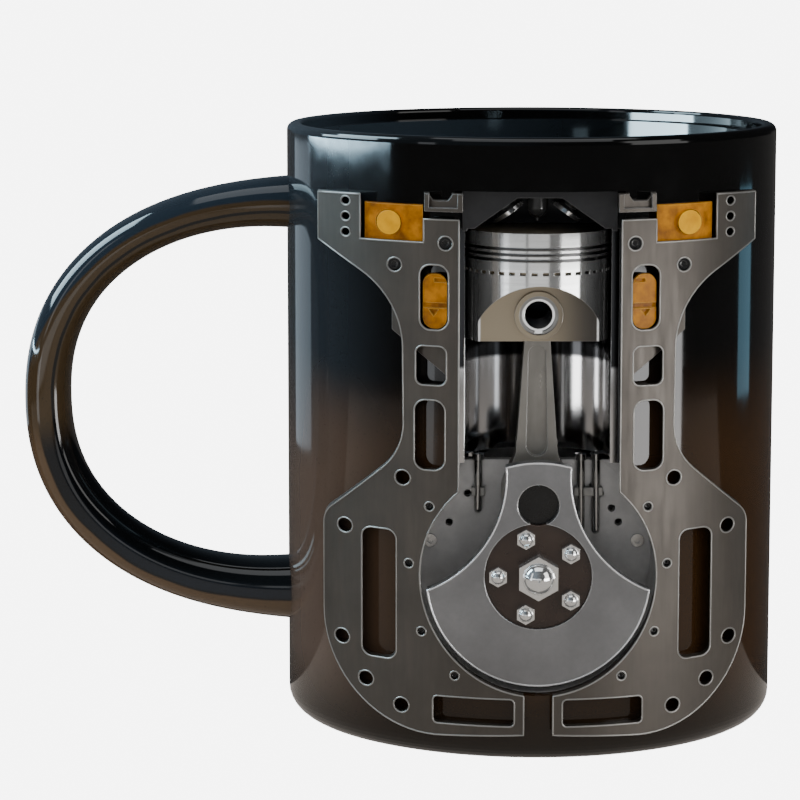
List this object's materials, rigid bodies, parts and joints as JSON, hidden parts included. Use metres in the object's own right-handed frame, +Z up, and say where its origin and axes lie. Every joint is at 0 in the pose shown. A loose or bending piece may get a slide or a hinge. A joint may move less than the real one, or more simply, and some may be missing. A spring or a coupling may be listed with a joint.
{
  "type": "cutaway engine desk model in a mug housing",
  "caption": "Handled mug-shaped housing with a working cutaway crank, connecting rod and ringed piston between two slotted frame plates in its front.",
  "frame": {"origin": "centre of the flat base, on the mug axis", "axes": "+Z up along the mug axis; -Y is the engine side; the handle stands out towards -X"},
  "size_m": [0.1266, 0.0849, 0.1],
  "materials": {
    "mug_glaze": "glossy",
    "cup_glaze": "glossy",
    "plate_steel": "satin",
    "bare_steel": "satin",
    "bright_steel": "polished",
    "case_metal": "satin",
    "dark_metal": "satin",
    "chrome": "polished",
    "plug_ceramic": "glossy",
    "web_steel": "satin",
    "hub_enamel": "glossy",
    "pin_steel": "satin",
    "rod_steel": "satin",
    "bronze": "satin",
    "piston_alloy": "polished",
    "ring_iron": "satin",
    "spring_steel": "satin",
    "amber": "glossy",
    "amber_lens": "glossy"
  },
  "bodies": {
    "housing": {"mug_shell": "mug_glaze", "handle": "mug_glaze", "inner_cup": "cup_glaze", "frame_plate_left": "plate_steel", "frame_plate_right": "plate_steel", "gusset_left": "plate_steel", "gusset_right": "plate_steel", "head_bracket_left": "plate_steel", "head_bracket_right": "plate_steel", "amber_panel_left": "amber", "amber_panel_right": "amber", "amber_lens_left": "amber_lens", "amber_lens_right": "amber_lens", "amber_gauge_left": "amber", "amber_gauge_right": "amber", "plate_screws": "bright_steel", "crankcase": "case_metal", "crankcase_screws": "bright_steel", "oil_pipes": "bright_steel", "oil_pipe_clips": "bare_steel", "back_plate": "dark_metal", "barrel": "dark_metal", "cylinder_liner": "chrome", "barrel_base_nuts": "bright_steel", "cylinder_head": "dark_metal", "head_bolts": "bright_steel", "valve_guides": "bare_steel", "spark_plug": "plug_ceramic", "bearing_outer_rings": "bright_steel", "intake_spring": "spring_steel", "exhaust_spring": "spring_steel"},
    "crank": {"crank_web_front": "web_steel", "hub_disc": "hub_enamel", "hub_studs": "bare_steel", "hub_dome_nuts": "chrome", "centre_stud": "bare_steel", "centre_dome_nut": "chrome", "crankpin": "pin_steel", "crank_arm_rear": "web_steel", "main_shaft": "bright_steel", "bearing_inner_rings": "bright_steel", "bearing_balls": "bright_steel", "flywheel": "case_metal", "flywheel_nut": "bare_steel"},
    "rod": {"connecting_rod": "rod_steel", "big_end_bush": "bronze", "small_end_bush": "bronze"},
    "piston": {"piston": "piston_alloy", "compression_ring_top": "ring_iron", "compression_ring_second": "ring_iron", "oil_ring": "ring_iron", "wrist_pin": "chrome", "circlips": "bare_steel"},
    "intake": {"intake_valve": "chrome", "intake_retainer": "bare_steel"},
    "exhaust": {"exhaust_valve": "chrome", "exhaust_retainer": "bare_steel"}
  },
  "joints": [
    {"name": "crank_turn", "type": "hinge", "parent": "housing", "child": "crank", "pos_m": [0, -0.03, 0.0302], "axis": [0, 1, 0], "range_deg": [-60, 60]},
    {"name": "rod_big_end", "type": "hinge", "parent": "crank", "child": "rod", "pos_m": [0, -0.029, 0.0417], "axis": [0, 1, 0], "range_deg": [-81, 81]},
    {"name": "piston_wrist", "type": "hinge", "parent": "rod", "child": "piston", "pos_m": [0, -0.029, 0.0716], "axis": [0, 1, 0], "range_deg": [-21, 21]},
    {"name": "intake_lift", "type": "slide", "parent": "housing", "child": "intake", "axis": [0.5736, 0, -0.8192], "range_m": [0, 0.0005], "stiffness_N_per_m": 60, "springref_m": -0.0006, "deforming": ["intake_spring"]},
    {"name": "exhaust_lift", "type": "slide", "parent": "housing", "child": "exhaust", "axis": [-0.5736, 0, -0.8192], "range_m": [0, 0.0005], "stiffness_N_per_m": 60, "springref_m": -0.0006, "deforming": ["exhaust_spring"]}
  ],
  "couplings": [
    {"joint": "rod_big_end", "follows": "crank_turn", "ratio": -1.3398},
    {"joint": "piston_wrist", "follows": "crank_turn", "ratio": 0.3398}
  ]
}
